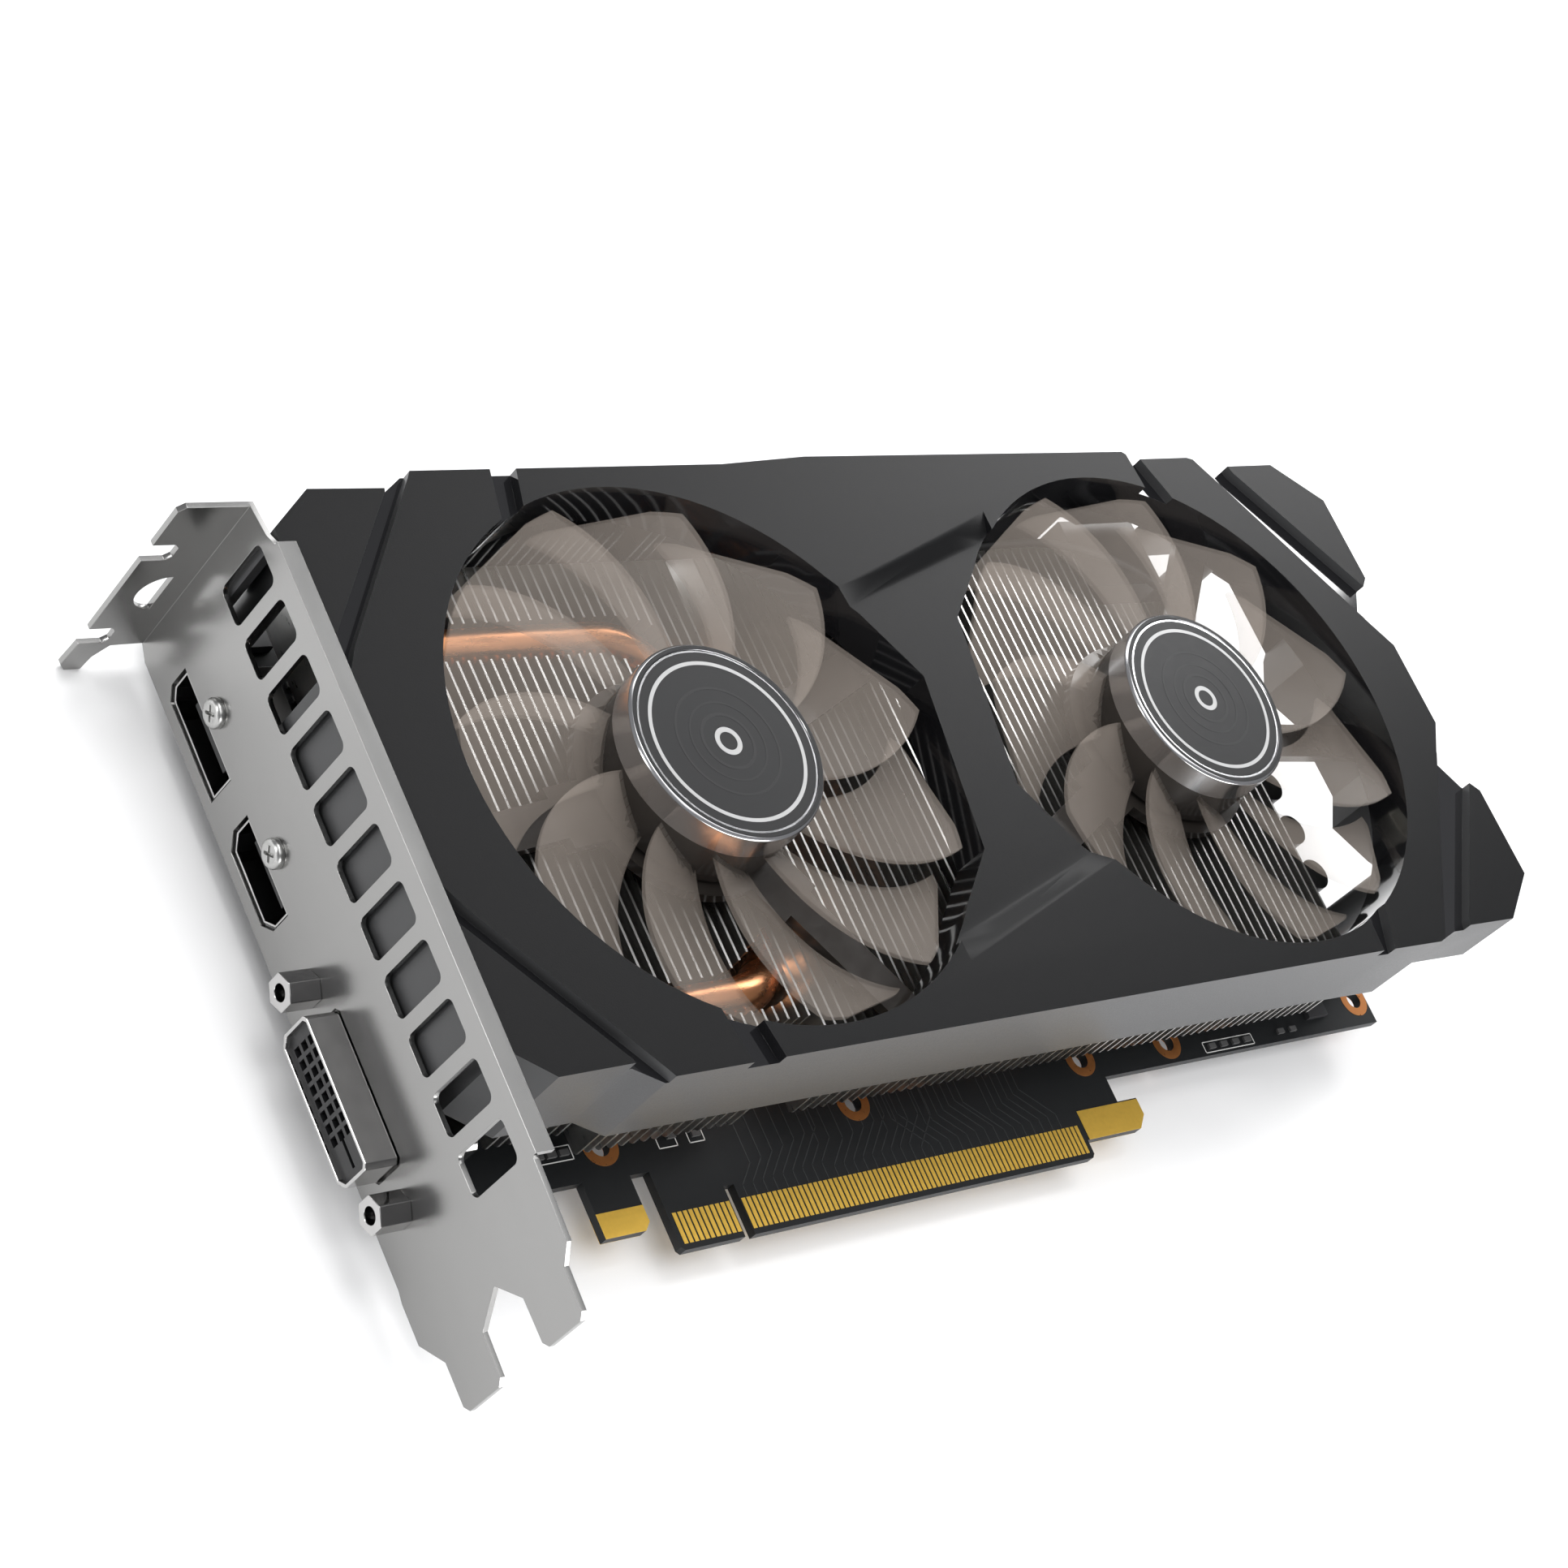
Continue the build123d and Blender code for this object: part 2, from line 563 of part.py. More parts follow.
def fan_frame(fan):
    """Round motor base with three arms that screw up into the shroud."""
    x, y = FAN_X[fan], FAN_Y
    frame = rod(x, y, ARM_LOW, ARM_HIGH, 18.0)
    for a in ARM_ANGLES[fan]:
        arm = box(14, ARM_TIP_R, -3.2, 3.2, ARM_LOW, ARM_HIGH) + rod(ARM_TIP_R, 0, ARM_LOW, ARM_HIGH, 3.2)
        arm += box(15, 24, -5.0, 5.0, ARM_LOW, ARM_HIGH)
        frame += Pos(x, y, 0) * Rot(0, 0, a) * (arm - rod(ARM_TIP_R, 0, 10, 40, 1.1))
    frame += rod(x, y, ARM_HIGH, 30.2, 4.4)
    return frame - rod(x, y, 22.0, 40, 3.0)


def fan_board(fan):
    """Ring-shaped circuit board under the stator."""
    return tube(FAN_X[fan], FAN_Y, ARM_HIGH, ARM_HIGH + 0.8, 12.6, 4.4)


def stator_core(fan):
    """Nine-pole laminated stator."""
    x, y = FAN_X[fan], FAN_Y
    core = tube(x, y, 25.0, 29.4, 6.4, 4.4)
    for k in range(9):
        pole = box(6.0, 11.0, -0.9, 0.9, 25.0, 29.4)
        shoe = (tube(0, 0, 25.0, 29.4, 11.3, 10.2) & box(8, 12, -3.0, 3.0, 24, 30))
        core += Pos(x, y, 0) * Rot(0, 0, 40 * k) * (pole + shoe)
    return core


def stator_coils(fan):
    x, y = FAN_X[fan], FAN_Y
    coil = box(6.7, 9.9, -1.6, 1.6, 24.3, 30.1) - box(6.0, 11.0, -0.9, 0.9, 25.0, 29.4)
    return group(Pos(x, y, 0) * Rot(0, 0, 40 * k) * coil for k in range(9))


def bearing(fan):
    return tube(FAN_X[fan], FAN_Y, 22.4, 29.8, 3.0, 1.04)


def shaft(fan):
    return rod(FAN_X[fan], FAN_Y, 22.8, 33.2, 1.0)


BLADE_SECTIONS = [  # radius, turn in degrees, half chord, middle height, rise at the ends
    (15.2, 0, 4.2, 27.3, 2.3), (22.0, 3, 6.3, 27.5, 2.9), (29.0, 8, 8.3, 27.7, 3.3),
    (36.0, 15, 10.4, 27.9, 3.6), (TIP_R - 0.8, 23, 12.3, 28.0, 3.9),
]


def blade():
    """One pitched blade, swept forwards, as a skin through thin sections from root to tip."""
    half_t = 0.45
    sections = []
    for r, turn, half, z_mid, rise in BLADE_SECTIONS:
        c, s = math.cos(math.radians(turn)), math.sin(math.radians(turn))
        ends = [(-half, rise - half_t), (-half, rise + half_t), (half, half_t - rise),
                (half, -rise - half_t)]
        quad = Polyline(*[(r * c - y * s, r * s + y * c, z_mid + z) for y, z in ends], close=True)
        sections.append(make_face(quad))
    return loft(sections) & rod(0, 0, 20, 40, TIP_R)


def impeller(fan):
    """Hub cup with its blades."""
    cup = rod(0, 0, 23.4, 30.6, HUB_R) + rod(0, 0, 30.6, 34.8, 15.2)
    one = blade()
    wheel = cup
    for k in range(BLADES):
        wheel += Rot(0, 0, 360 / BLADES * k) * one
    wheel -= rod(0, 0, 20, 32.6, 13.8)
    wheel += rod(0, 0, 30.6, 33.0, 3.0)
    wheel -= rod(0, 0, 20, 33.2, 1.0)
    return Pos(FAN_X[fan], FAN_Y, 0) * wheel


def hub_band(fan):
    band = tube(FAN_X[fan], FAN_Y, 30.6, 35.4, 16.35, 15.2)
    return chamfer(band.edges().group_by(Axis.Z)[-1].sort_by(SortBy.LENGTH)[-1], 0.45)


def hub_label(fan):
    return rod(FAN_X[fan], FAN_Y, 34.8, 35.2, 15.15)


def magnet_ring(fan):
    return tube(FAN_X[fan], FAN_Y, 24.0, 31.4, 13.8, 11.8)


def fan_screws():
    return group(rod(x, y, 19.4, ARM_LOW, 1.9) + rod(x, y, ARM_LOW, 28.0, 0.9)
                 for x, y in fan_screw_places())


# Fan leads: held under an arm, then dropping to the shared plug.
LEAD_R = 0.7
LEFT_LEAD = [(19.0, 67.4, 20.0), (39.0, 75.5, 20.0), (50.0, 87.0, 20.0), (66.0, 96.0, 20.0),
             (86.0, 101.0, 20.0), (108.0, 101.5, 20.0), (124.0, 96.0, 20.0),
             (133.5, 88.5, 18.5), (138.3, 82.5, 15.5), (139.5, 78.0, 12.0), (139.5, 78.0, 6.6)]
RIGHT_LEAD = [(124.2, 58.9, 20.0), (133.0, 58.1, 20.0), (142.0, 62.0, 19.0),
              (145.5, 69.5, 16.5), (144.8, 75.2, 14.2), (143.5, 78.0, 11.0),
              (143.5, 78.0, 6.6)]


def lead(points):
    """Round lead: straight runs joined by arcs as large as the runs allow."""
    corners = [Vector(*p) for p in points]
    radii = []
    for a, b, c in zip(corners, corners[1:], corners[2:]):
        run_in, run_out = b - a, c - b
        turn = math.radians(run_in.get_angle(run_out))
        radii.append(0.45 * min(run_in.length, run_out.length) / math.tan(turn / 2))
    print("lead radii", [round(r, 1) for r in radii])
    path = FilletPolyline(*points, radius=radii)
    start = Plane(origin=path @ 0, z_dir=path % 0)
    tube_solid = sweep(start * Circle(LEAD_R), path=path)
    print("lead volume ratio", round(tube_solid.volume / (math.pi * LEAD_R ** 2 * path.length), 4),
          "length", round(path.length, 1))
    return tube_solid


# ---- write every node ---------------------------------------------------
NODES = {
    "circuit_board": circuit_board, "edge_contacts": edge_contacts, "gold_ends": gold_ends,
    "hole_rings": hole_rings, "io_bracket": bracket, "bracket_screws": bracket_screws,
    "video_port_upper_shell": video_port_upper_shell, "video_port_upper_insert": video_port_upper_insert,
    "video_port_middle_shell": video_port_middle_shell, "video_port_middle_insert": video_port_middle_insert, "video_port_wide_shell": video_port_wide_shell,
    "video_port_wide_insert": video_port_wide_insert, "video_port_wide_posts": video_port_wide_posts, "shroud": shroud,
    "shroud_screws": shroud_screws, "heatsink_fins": fins, "heatsink_base": sink_base,
    "heatsink_screws": sink_screws, "heatsink_springs": sink_springs,
    "heat_pipe_upper": lambda: heat_pipe(UPPER_PIPE, UPPER_RADII),
    "heat_pipe_lower": lambda: heat_pipe(LOWER_PIPE, LOWER_RADII),
    "gpu_substrate": gpu_substrate, "gpu_die": gpu_die, "memory_chips": memory_chips,
    "thermal_pads": thermal_pads, "chokes": chokes, "capacitors": capacitors,
    "mosfets": mosfets, "board_parts": board_parts, "bios_chip": bios_chip,
    "power_socket": power_socket, "power_pins": power_pins, "fan_header": fan_header,
    "fan_plug": fan_plug, "fan_screws": fan_screws,
    "fan_lead_left": lambda: lead(LEFT_LEAD), "fan_lead_right": lambda: lead(RIGHT_LEAD),
}
FAN_NODES = {
    "fan_frame": fan_frame, "fan_board": fan_board, "stator_core": stator_core,
    "stator_coils": stator_coils, "bearing": bearing, "shaft": shaft, "impeller": impeller,
    "hub_band": hub_band, "hub_label": hub_label, "magnet_ring": magnet_ring,
}

for node, make in NODES.items():
    save(make(), node)
for fan in FAN_X:
    for node, make in FAN_NODES.items():
        save(make(fan), f"{node}_{fan}")
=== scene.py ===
# %% [markdown]
# # A twin-fan graphics card
# The engineering solids of the card are already packed as a fixed frame, in metres.
# The chip side of the board is at z = 0, the fans face +Z and the metal bracket is at
# the -X end.  This lesson gives those solids their finishes, softens the moulded and
# folded ones, and adds the fine parts that only matter to the eye.

# %% Load the frame
import json
import math

import bmesh
import bpy
from mathutils import Matrix, Vector


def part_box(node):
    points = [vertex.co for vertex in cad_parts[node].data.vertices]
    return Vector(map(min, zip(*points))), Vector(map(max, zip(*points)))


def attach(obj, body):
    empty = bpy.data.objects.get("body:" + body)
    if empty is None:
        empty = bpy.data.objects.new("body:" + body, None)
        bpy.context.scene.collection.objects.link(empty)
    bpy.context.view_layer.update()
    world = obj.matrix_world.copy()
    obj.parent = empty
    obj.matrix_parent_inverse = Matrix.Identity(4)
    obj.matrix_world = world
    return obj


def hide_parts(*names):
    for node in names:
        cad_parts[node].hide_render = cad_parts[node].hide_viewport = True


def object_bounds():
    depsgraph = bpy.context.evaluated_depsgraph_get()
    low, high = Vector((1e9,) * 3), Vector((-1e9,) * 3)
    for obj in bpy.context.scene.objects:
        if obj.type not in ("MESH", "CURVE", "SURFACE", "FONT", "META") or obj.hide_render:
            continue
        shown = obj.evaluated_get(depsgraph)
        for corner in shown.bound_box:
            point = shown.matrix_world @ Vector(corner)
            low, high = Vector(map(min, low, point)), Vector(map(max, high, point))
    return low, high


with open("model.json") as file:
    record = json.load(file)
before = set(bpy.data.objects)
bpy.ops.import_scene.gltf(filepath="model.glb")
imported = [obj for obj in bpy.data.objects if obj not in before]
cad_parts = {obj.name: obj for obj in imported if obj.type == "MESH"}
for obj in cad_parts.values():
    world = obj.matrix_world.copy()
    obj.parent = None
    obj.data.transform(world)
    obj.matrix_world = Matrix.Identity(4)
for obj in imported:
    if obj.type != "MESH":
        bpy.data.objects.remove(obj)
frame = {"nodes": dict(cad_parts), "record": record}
CAD_BOX = [[float(v) for v in corner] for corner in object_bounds()]
NODES = frame["nodes"]
BODIES = frame["record"]["behaviour"]["bodies"]
BODY_OF = {n: body for body, names in BODIES.items() for n in names}
MM = 0.001
FANS = ("left", "right")
print("nodes", len(NODES), "box", CAD_BOX)

# %% [markdown]
# ## The view
# A product picture of a card is taken with a long lens from above the bracket's end, so
# that the bracket, the fans and the edge connector all show.  The camera could be aimed
# with a constraint, but three plain angles keep it easy to repeat.

# %% Camera
CAMERA_PLACE = (-0.31310, -0.10955, 0.35100)
CAMERA_TURN = (37.739, -34.754, -29.829)
LENS_MM = 77.64
LENS_SHIFT = (-0.0763, 0.0452)

lens = bpy.data.cameras.new("studio_camera")
lens.lens, lens.sensor_width = LENS_MM, 36.0
lens.shift_x, lens.shift_y = LENS_SHIFT
lens.clip_start = 0.01
camera = bpy.data.objects.new("studio_camera", lens)
camera.location = CAMERA_PLACE
camera.rotation_euler = [math.radians(a) for a in CAMERA_TURN]
bpy.context.collection.objects.link(camera)
bpy.context.scene.camera = camera
print("camera distance", round(Vector(CAMERA_PLACE).length, 3))

# %% [markdown]
# ## Floor and light
# Metal and gloss plastic only look right when they have something to reflect.  A white
# world would flatten them, so a dim grey world is helped by area lights: a wide one
# straight overhead that keeps the floor pale, a small bright one beyond the far end that
# draws a thin line in the far channel, and soft ones behind, over the bracket and low in
# front.

# %% Floor
def link(name, mesh):
    """Make an object at the origin from a mesh or a filled bmesh."""
    if isinstance(mesh, bmesh.types.BMesh):
        data = bpy.data.meshes.new(name)
        mesh.to_mesh(data)
        mesh.free()
        mesh = data
    obj = bpy.data.objects.new(name, mesh)
    bpy.context.collection.objects.link(obj)
    return obj


FLOOR_Z = CAD_BOX[0][2] - 0.05 * MM
bm = bmesh.new()
bmesh.ops.create_grid(bm, x_segments=1, y_segments=1, size=4.0)
bmesh.ops.translate(bm, verts=bm.verts, vec=(0, 0, FLOOR_Z))
floor = link("floor", bm)
print("floor height", round(FLOOR_Z, 4))

# %% Lights
def area_light(name, place, aim, size, watts):
    lamp = bpy.data.lights.new(name, "AREA")
    lamp.shape, lamp.size, lamp.size_y, lamp.energy = "RECTANGLE", size[0], size[1], watts
    obj = bpy.data.objects.new(name, lamp)
    obj.location = place
    obj.rotation_euler = (Vector(aim) - Vector(place)).to_track_quat("-Z", "Y").to_euler()
    bpy.context.collection.objects.link(obj)


MIDDLE = (0.05, 0.06, 0.02)
area_light("overhead_softbox", (0.05, 0.06, 1.7), MIDDLE, (2.2, 2.2), 30.0)
area_light("channel_softbox", (0.86, 0.55, 0.50), MIDDLE, (0.34, 0.34), 4.0)
area_light("back_softbox", (0.35, 0.90, 0.45), MIDDLE, (0.9, 0.3), 3.0)
area_light("top_softbox", (0.0, 0.35, 0.9), MIDDLE, (0.4, 0.3), 2.4)
area_light("bracket_softbox", (-0.8, 0.25, 0.25), MIDDLE, (0.15, 0.6), 2.6)
area_light("front_softbox", (0.1, -0.8, 0.20), MIDDLE, (1.0, 0.25), 6.5)

world = bpy.data.worlds.new("studio_world")
world.use_nodes = True
world.node_tree.nodes["Background"].inputs["Color"].default_value = (0.95, 0.96, 1.0, 1)
world.node_tree.nodes["Background"].inputs["Strength"].default_value = 0.30
bpy.context.scene.world = world
bpy.context.scene.view_settings.view_transform = "Standard"
print("lights", len(bpy.data.lights))

# %% [markdown]
# ## Finishes
# Every real finish has some unevenness: moulded plastic has a fine spark-eroded grain,
# rolled metal has drawn lines, polished plating has faint waves.  One helper builds a
# Principled material whose roughness and height follow noise in Object coordinates.
# Stretching the noise along one axis turns grain into brushing.

# %% Finish helper
def finish(name, colour, rough, metal=0.0, grain=2500.0, spread=0.08, height=0.0,
           stretch=(1, 1, 1), tint=0.06, coat=0.0, alpha=1.0, specular=0.5):
    """A material: `spread` is how far roughness varies and `tint` how far colour does."""
    mat = bpy.data.materials.new(name)
    mat.use_nodes = True
    nodes, links = mat.node_tree.nodes, mat.node_tree.links
    shader = nodes["Principled BSDF"]
    shader.inputs["Metallic"].default_value = metal
    shader.inputs["Specular IOR Level"].default_value = specular
    shader.inputs["Coat Weight"].default_value = coat
    shader.inputs["Coat Roughness"].default_value = 0.06
    shader.inputs["Alpha"].default_value = alpha
    place = nodes.new("ShaderNodeTexCoord")
    mapping = nodes.new("ShaderNodeMapping")
    mapping.inputs["Scale"].default_value = stretch
    noise = nodes.new("ShaderNodeTexNoise")
    noise.inputs["Scale"].default_value = grain
    noise.inputs["Detail"].default_value = 3.0
    links.new(place.outputs["Object"], mapping.inputs["Vector"])
    links.new(mapping.outputs["Vector"], noise.inputs["Vector"])
    spread_map = nodes.new("ShaderNodeMapRange")
    spread_map.inputs["To Min"].default_value = max(rough - spread, 0.02)
    spread_map.inputs["To Max"].default_value = rough + spread
    links.new(noise.outputs["Fac"], spread_map.inputs["Value"])
    links.new(spread_map.outputs["Result"], shader.inputs["Roughness"])
    shade = nodes.new("ShaderNodeValToRGB")
    shade.color_ramp.elements[0].color = [c * (1 - tint) for c in colour] + [1]
    shade.color_ramp.elements[1].color = [min(c * (1 + tint), 1) for c in colour] + [1]
    links.new(noise.outputs["Fac"], shade.inputs["Fac"])
    links.new(shade.outputs["Color"], shader.inputs["Base Color"])
    if height:
        bump = nodes.new("ShaderNodeBump")
        bump.inputs["Distance"].default_value = height * MM
        bump.inputs["Strength"].default_value = 0.5
        links.new(noise.outputs["Fac"], bump.inputs["Height"])
        links.new(bump.outputs["Normal"], shader.inputs["Normal"])
    return mat


# %% Finishes of this card
FINISH = {
    "floor": finish("pale_floor", (0.93, 0.93, 0.93), 0.6, grain=30),
    "satin_black": finish("satin_black_moulding", (0.0055, 0.0056, 0.0060), 0.40, height=0.02,
                          grain=4200, tint=0.2, specular=0.10),
    "gloss_black": finish("gloss_black_channel", (0.008, 0.008, 0.009), 0.07, spread=0.03,
                          grain=300, coat=0.6),
    # The side walls are the same black moulding as the front, painted a paler grey: painted light
    # for the light they catch.
    "side_painted_light": finish("satin_side_wall_painted_light", (0.045, 0.0455, 0.047), 0.38, height=0.02, grain=4200,
                        specular=0.4),
    "board": finish("black_solder_mask", (0.008, 0.009, 0.010), 0.45, grain=900,
                    height=0.01, specular=0.3),
    "trace": finish("masked_copper_trace", (0.028, 0.030, 0.031), 0.35, grain=900),
    "gold": finish("contact_gold", (0.95, 0.60, 0.10), 0.32, metal=0.75, grain=1500),
    "ring_copper": finish("bare_copper_ring", (0.75, 0.30, 0.10), 0.30, metal=0.9, grain=1200),
    "pipe_copper": finish("brushed_copper_pipe", (0.80, 0.36, 0.17), 0.28, metal=1.0, grain=900,
                          stretch=(0.15, 1, 1), height=0.02, tint=0.12),
    "nickel": finish("satin_nickel_sheet", (0.30, 0.298, 0.293), 0.24, metal=1.0, grain=300,
                     stretch=(1, 0.2, 1), spread=0.04, tint=0.03),
    "chrome": finish("bright_plating", (0.50, 0.495, 0.49), 0.12, metal=1.0, spread=0.04,
                     grain=500),
    "hub_chrome": finish("turned_hub_band", (0.55, 0.55, 0.56), 0.2, metal=1.0, grain=1200,
                         stretch=(0.2, 0.2, 6)),
    "steel": finish("zinc_steel", (0.45, 0.45, 0.44), 0.3, metal=1.0, grain=1500),
    "fin": finish("cut_aluminium_fin", (0.62, 0.615, 0.60), 0.30, metal=1.0, grain=1500,
                  stretch=(1, 0.15, 1), tint=0.08),
    "black_plastic": finish("black_nylon", (0.012, 0.012, 0.013), 0.42, height=0.02),
    "black_steel": finish("blackened_screw", (0.02, 0.02, 0.02), 0.35, metal=0.6),
    "smoky": finish("smoky_frame_plastic", (0.030, 0.026, 0.023), 0.18, grain=600),
    "blade": finish("smoky_clear_blade", (0.40, 0.345, 0.30), 0.34, grain=500, alpha=0.17, tint=0.1,
                    specular=0.25),
    "chip": finish("moulded_chip", (0.025, 0.025, 0.027), 0.5, height=0.01),
    "silicon": finish("silicon_die", (0.16, 0.18, 0.21), 0.1, metal=0.7, grain=400),
    "pad": finish("soft_thermal_pad", (0.30, 0.36, 0.48), 0.7, height=0.03),
    "ferrite": finish("grey_ferrite", (0.07, 0.07, 0.07), 0.6, height=0.04, grain=1800),
    "can": finish("capacitor_can", (0.16, 0.16, 0.16), 0.35, metal=1.0, grain=1200),
    "ivory": finish("ivory_nylon", (0.70, 0.67, 0.58), 0.45, height=0.01),
    "rubber": finish("lead_rubber", (0.018, 0.018, 0.018), 0.5, height=0.01),
    "label": finish("hub_label_film", (0.012, 0.0122, 0.013), 0.4, grain=700, specular=0.15),
    "label_soft": finish("hub_label_soft_ring", (0.018, 0.0183, 0.019), 0.42, grain=700,
                         specular=0.15),
    "label_light": finish("hub_label_light_ring", (0.36, 0.36, 0.36), 0.35, grain=700),
    "winding": finish("enamelled_wire", (0.60, 0.25, 0.09), 0.3, metal=0.8, grain=1600),
    "bronze": finish("sintered_bronze", (0.45, 0.32, 0.17), 0.5, metal=0.8),
    "silkscreen": finish("white_board_print", (0.75, 0.75, 0.73), 0.6),
}
floor.data.materials.append(FINISH["floor"])
SLOT_FINISH = {
    "board": "board", "gold": "gold", "copper": "pipe_copper", "bracket": "nickel",
    "bright_metal": "chrome", "screw_steel": "steel", "black_screw": "black_steel",
    "shroud": "satin_black", "aluminium": "fin", "black_plastic": "black_plastic",
    "smoky_plastic": "smoky", "chip": "chip", "silicon": "silicon", "pad": "pad",
    "ferrite": "ferrite", "can": "can", "header": "ivory", "lead": "rubber",
    "magnet": "rubber", "hub_label": "label", "winding": "winding", "sintered": "bronze",
}
print("finishes", len(FINISH))

# %% [markdown]
# ## Dressing the solids
# Solids whose shape is already right only need their finish.  The record names a material
# slot for every node, so one table dresses them all, and a few exceptions follow.

# %% Dress every node
def dress(node, name):
    obj = NODES[node]
    if not obj.data.materials:
        obj.data.materials.append(None)
    for slot in obj.material_slots:
        slot.material = FINISH[name]


SLOT_OF = {p["node"]: p["material_slot"] for p in frame["record"]["subparts"]}
for node, slot_name in SLOT_OF.items():
    dress(node, SLOT_FINISH[slot_name])
dress("hole_rings", "ring_copper")
for fan in FANS:
    dress(f"hub_band_{fan}", "hub_chrome")
print("dressed", len(NODES))

# %% [markdown]
# ## Softened mouldings and sheet metal
# A CAD solid has perfectly sharp edges, and nothing real does.  Retyping each shape would
# be slow and could drift from the solid, so a merged copy of the solid gets a small
# Bevel modifier and stands in for it.  The bevel is what catches the bright edge lines.

# %% Softening helper
def softened(node, name, width, segments=2, finishes=None, sort_faces=None):
    """A copy of a CAD node with rounded edges, in place of the node."""
    source = NODES[node]
    bm = bmesh.new()
    bm.from_mesh(source.data)
    bmesh.ops.remove_doubles(bm, verts=bm.verts, dist=0.02 * MM)
    bmesh.ops.dissolve_degenerate(bm, edges=bm.edges, dist=0.01 * MM)
    bmesh.ops.dissolve_limit(bm, angle_limit=math.radians(0.5), verts=bm.verts, edges=bm.edges)
    for face in bm.faces:
        face.smooth = True
        face.material_index = sort_faces(face) if sort_faces else 0
    obj = link(name, bm)
    for item in finishes or [source.material_slots[0].material]:
        obj.data.materials.append(item)
    bevel = obj.modifiers.new("edges", "BEVEL")
    bevel.width, bevel.segments = width * MM, segments
    bevel.limit_method, bevel.angle_limit = "ANGLE", math.radians(35)
    weighted = obj.modifiers.new("flat_faces", "WEIGHTED_NORMAL")
    weighted.weight, weighted.keep_sharp = 100, True
    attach(obj, BODY_OF[node])
    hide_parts(node)
    print(name, "faces", len(obj.data.polygons))
    return obj


# %% [markdown]
# ## Shroud
# The shroud is one moulding with three finishes: a sparked satin front, polished channels
# and fan openings, and side walls painted a paler grey, which is painted light for the light
# they catch.  They could be three objects, but one mesh with three material slots keeps the
# edges between them tight.

# %% Shroud finishes by face
FRONT_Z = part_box("shroud")[1][2]
FAN_PLACE = {fan: Vector([(a + b) / 2 for a, b in zip(*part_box(f"bearing_{fan}"))]) for fan in FANS}
OPENING_R = 44.5 * MM
SATIN, GLOSS, SIDE_PAINTED_LIGHT = 0, 1, 2
WAIST_X = (0.028, 0.080)           # the sunk middle panel, which stays satin
OPENING_MARGIN = 3 * MM


def shroud_finish(face):
    """Which of the three finishes a face of the shroud has."""
    c, n = face.calc_center_median(), face.normal
    near = min(math.hypot(c.x - p.x, c.y - p.y) for p in FAN_PLACE.values())
    if n.z > 0.9 and c.z < FRONT_Z - 1.0 * MM:
        in_waist = WAIST_X[0] < c.x < WAIST_X[1]
        return SATIN if in_waist else GLOSS
    # Walls away from the openings take the paler grey, which is painted light for the light falling
    # on them.
    if abs(n.z) < 0.3:
        return GLOSS if near < OPENING_R + OPENING_MARGIN else SIDE_PAINTED_LIGHT
    return SATIN


softened("shroud", "shroud_moulding", 0.5, 3,
         [FINISH["satin_black"], FINISH["gloss_black"], FINISH["side_painted_light"]], shroud_finish)
print("front height", round(FRONT_Z, 4))

# %% Bracket, sockets and posts
softened("io_bracket", "bracket_sheet", 0.15)
for node in ("video_port_upper_shell", "video_port_middle_shell", "video_port_wide_shell"):
    softened(node, node.replace("_shell", "_can"), 0.12)
softened("video_port_wide_posts", "wide_port_jack_posts", 0.2)
softened("power_socket", "power_socket_body", 0.2)
softened("bracket_screws", "cross_head_screws", 0.08)

# %% [markdown]
# ## Fan rotors
# Each impeller is moulded in smoky clear plastic, thick at the hub and see-through in the
# thin blades.  The faces are sorted by their distance from the axis, so hub and blades
# share one mesh but not one finish.

# %% Impellers
HUB_EDGE_R = 16.6 * MM


def impeller_finish(centre):
    def pick(face):
        c = face.calc_center_median()
        return 1 if math.hypot(c.x - centre.x, c.y - centre.y) > HUB_EDGE_R else 0
    return pick


for fan in FANS:
    softened(f"impeller_{fan}", f"smoky_impeller_{fan}", 0.12, 2,
             [FINISH["smoky"], FINISH["blade"]], impeller_finish(FAN_PLACE[fan]))

# %% Hub bands
def band_finish(face):
    """The turned side and chamfer stay bright, the flat top is dark."""
    return 1 if face.normal.z > 0.9 else 0


for fan in FANS:
    softened(f"hub_band_{fan}", f"turned_hub_band_{fan}", 0.12, 2,
             [FINISH["hub_chrome"], FINISH["label"]], band_finish)

# %% [markdown]
# ## Hub label rings
# The film on each hub is printed with fine rings, a pale line near the edge and a small
# pale ring in the middle.  They could be painted by a shader, but turned rings of real
# thickness stay crisp in any view, so a small section is spun round the fan's axis.

# %% Ring helper
LABEL_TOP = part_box("hub_label_left")[1][2]
RINGS = [  # inner radius, outer radius, height above the film, finish
    (12.7, 13.3, 0.06, "label_light"),
    (1.5, 2.3, 0.06, "label_light"),
    (14.8, 15.1, 0.05, "hub_chrome"),
    (4.2, 4.7, 0.03, "label_soft"),
    (6.3, 6.6, 0.03, "label_soft"),
    (8.6, 9.0, 0.03, "label_soft"),
]


def turned_ring(name, centre, inner, outer, z, rise, steps=96):
    bm = bmesh.new()
    corners = [(inner, z), (outer, z), (outer, z + rise), (inner, z + rise)]
    loop = [bm.verts.new((centre.x + r * MM, centre.y, h)) for r, h in corners]
    edges = [bm.edges.new((loop[i], loop[(i + 1) % 4])) for i in range(4)]
    bmesh.ops.spin(bm, geom=loop + edges, cent=(centre.x, centre.y, 0), axis=(0, 0, 1),
                   angle=math.tau, steps=steps, use_merge=True)
    bmesh.ops.recalc_face_normals(bm, faces=bm.faces)
    return link(name, bm)


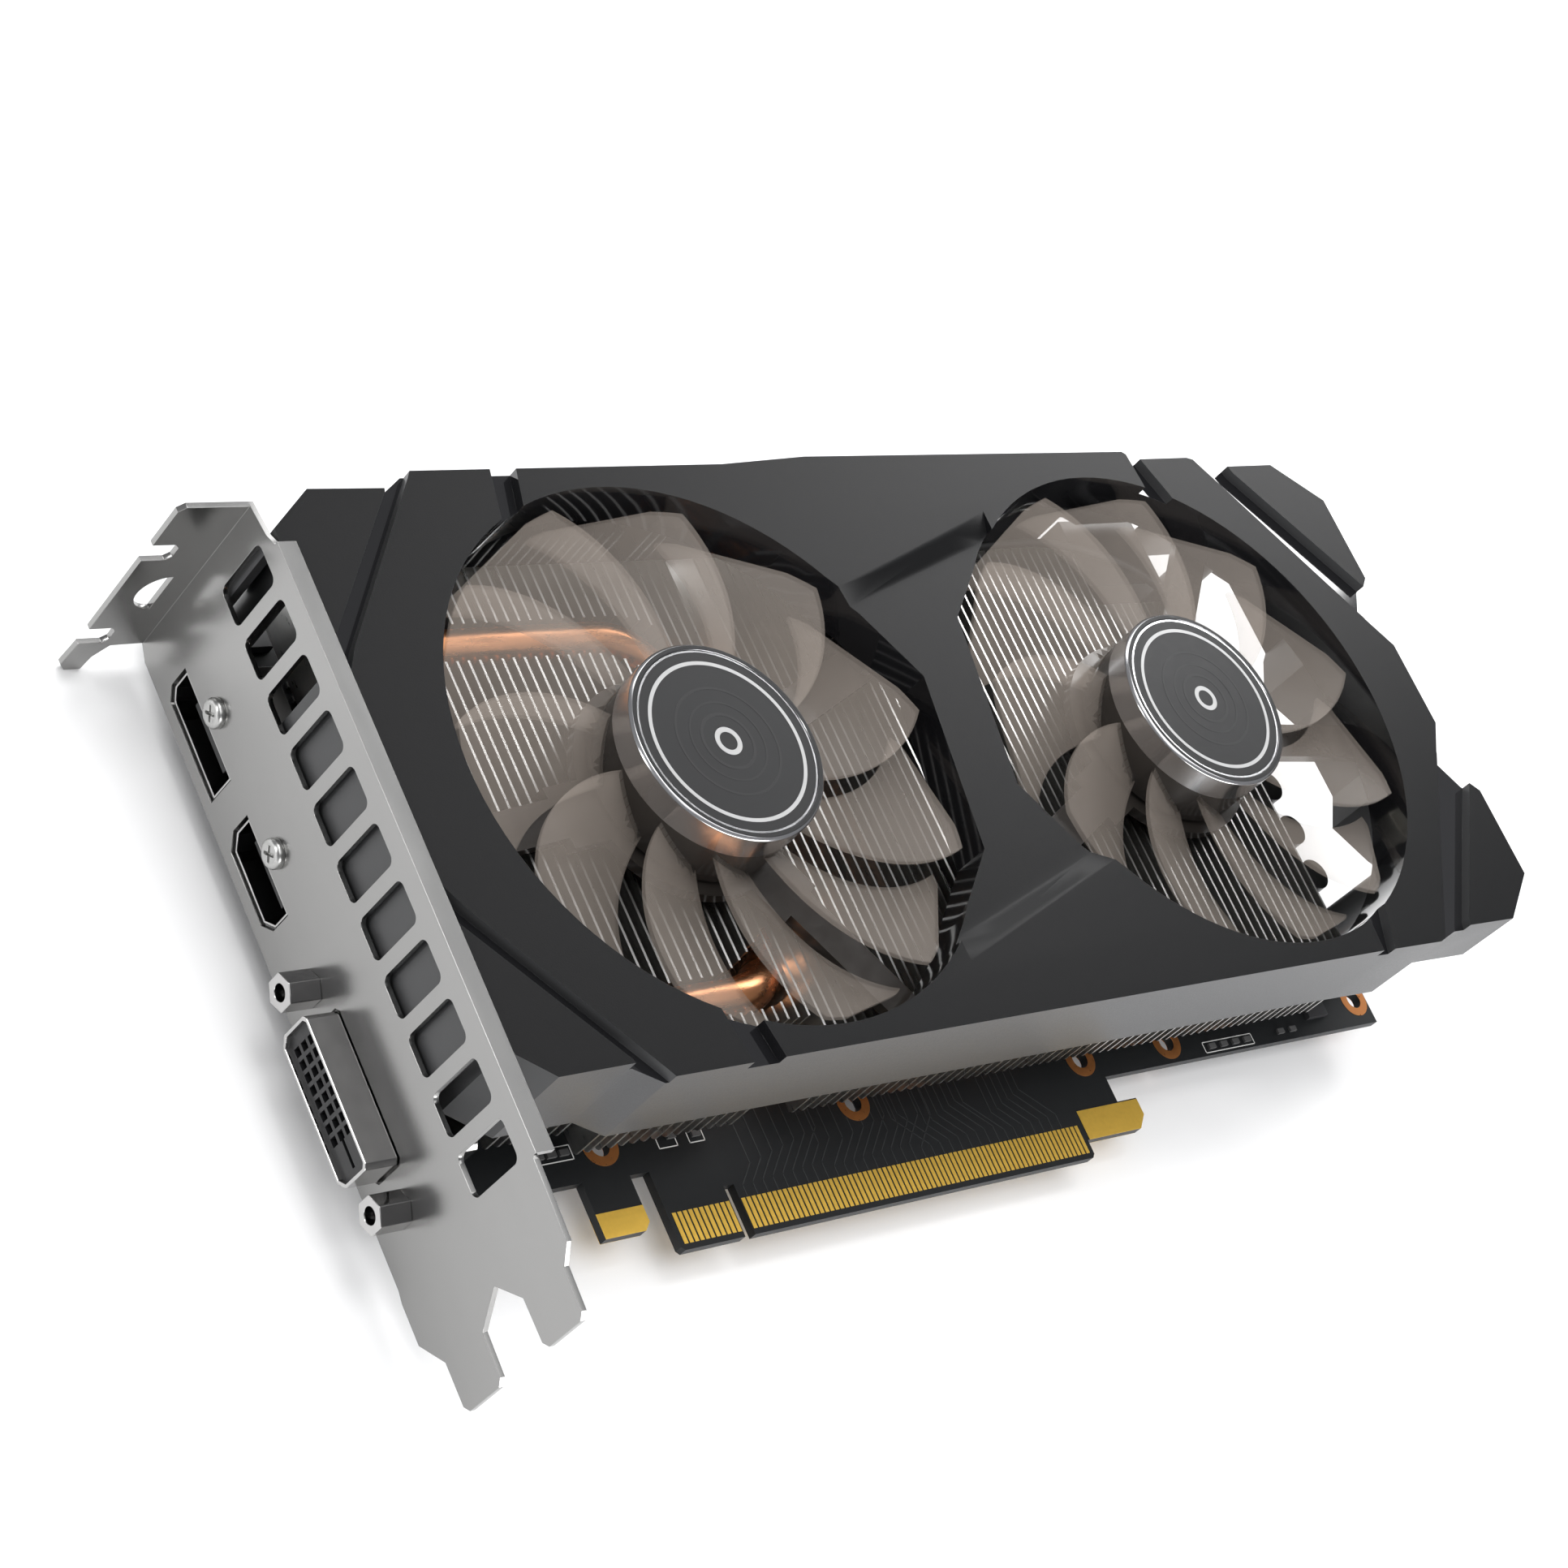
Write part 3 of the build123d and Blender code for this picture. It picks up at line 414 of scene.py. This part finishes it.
for fan in FANS:
    for i, (inner, outer, rise, name) in enumerate(RINGS):
        ring = turned_ring(f"hub_ring_{i}_{fan}", FAN_PLACE[fan], inner, outer,
                           LABEL_TOP - 0.01 * MM, rise * MM)
        ring.data.materials.append(FINISH[name])
        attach(ring, f"fan_rotor_{fan}")
print("rings per hub", len(RINGS), "film at", round(LABEL_TOP, 4))

# %% [markdown]
# ## Board print and traces
# Fine copper lines climb from the edge contacts under the black solder mask, and white
# print frames the small parts.  A texture could show them, but the board is seen close
# to its edge, so they are thin raised strips, each a stretched cube of a few faces.

# %% Strip helper
def add_strip(bm, start, end, width, z, rise):
    """A thin flat bar between two points of the board, added to bm."""
    a, b = Vector(start) * MM, Vector(end) * MM
    run = b - a
    turn = Matrix.Rotation(math.atan2(run.y, run.x), 4, "Z")
    size = Matrix.Diagonal((run.length + width * MM, width * MM, rise * MM, 1))
    place = Matrix.Translation(((a.x + b.x) / 2, (a.y + b.y) / 2, (z + rise / 2) * MM))
    bmesh.ops.create_cube(bm, size=1.0, matrix=place @ turn @ size)


def board_piece(name, bm, finish_name):
    obj = link(name, bm)
    obj.data.materials.append(FINISH[finish_name])
    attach(obj, "card")
    return obj


# %% Traces
TRACE_W, TRACE_RISE = 0.16, 0.02
TRACE_COUNT, TRACE_PITCH, TRACE_X0 = 34, 2.0, 2.5
LEAN_CHANGE_X = 40                 # traces lean towards the chip from both sides
TRACE_TOP_Y = 20.0
bm = bmesh.new()
for i in range(TRACE_COUNT):
    x = TRACE_X0 + TRACE_PITCH * i
    lean = 1 if x < LEAN_CHANGE_X else -1
    knee = 7.6 + 0.12 * (i % 9)
    reach = 3.0 + 0.45 * (i % 7)
    add_strip(bm, (x, 5.9), (x, knee), TRACE_W, 0, TRACE_RISE)
    add_strip(bm, (x, knee), (x + lean * reach, knee + reach), TRACE_W, 0, TRACE_RISE)
    bend = (x + lean * reach, knee + reach)
    add_strip(bm, bend, (bend[0], TRACE_TOP_Y), TRACE_W, 0, TRACE_RISE)
board_piece("board_traces", bm, "trace")
print("trace runs", TRACE_COUNT)

# %% Print frames
PRINT_W, PRINT_RISE = 0.15, 0.025
FRAMES = [  # centre x, centre y, width, height
    (-7.4, 18.2, 3.4, 5.6), (-10.0, 20.5, 9.0, 2.2), (-2.0, 17.9, 2.8, 5.0),
    (-27.8, 17.5, 7.4, 2.2), (114.5, 14.2, 12.4, 1.9),
]
bm = bmesh.new()
for x, y, w, h in FRAMES:
    left, right, low, high = x - w / 2, x + w / 2, y - h / 2, y + h / 2
    for start, end in (((left, low), (right, low)), ((right, low), (right, high)),
                       ((right, high), (left, high)), ((left, high), (left, low))):
        add_strip(bm, start, end, PRINT_W, 0, PRINT_RISE)
board_piece("board_print", bm, "silkscreen")
print("print frames", len(FRAMES))
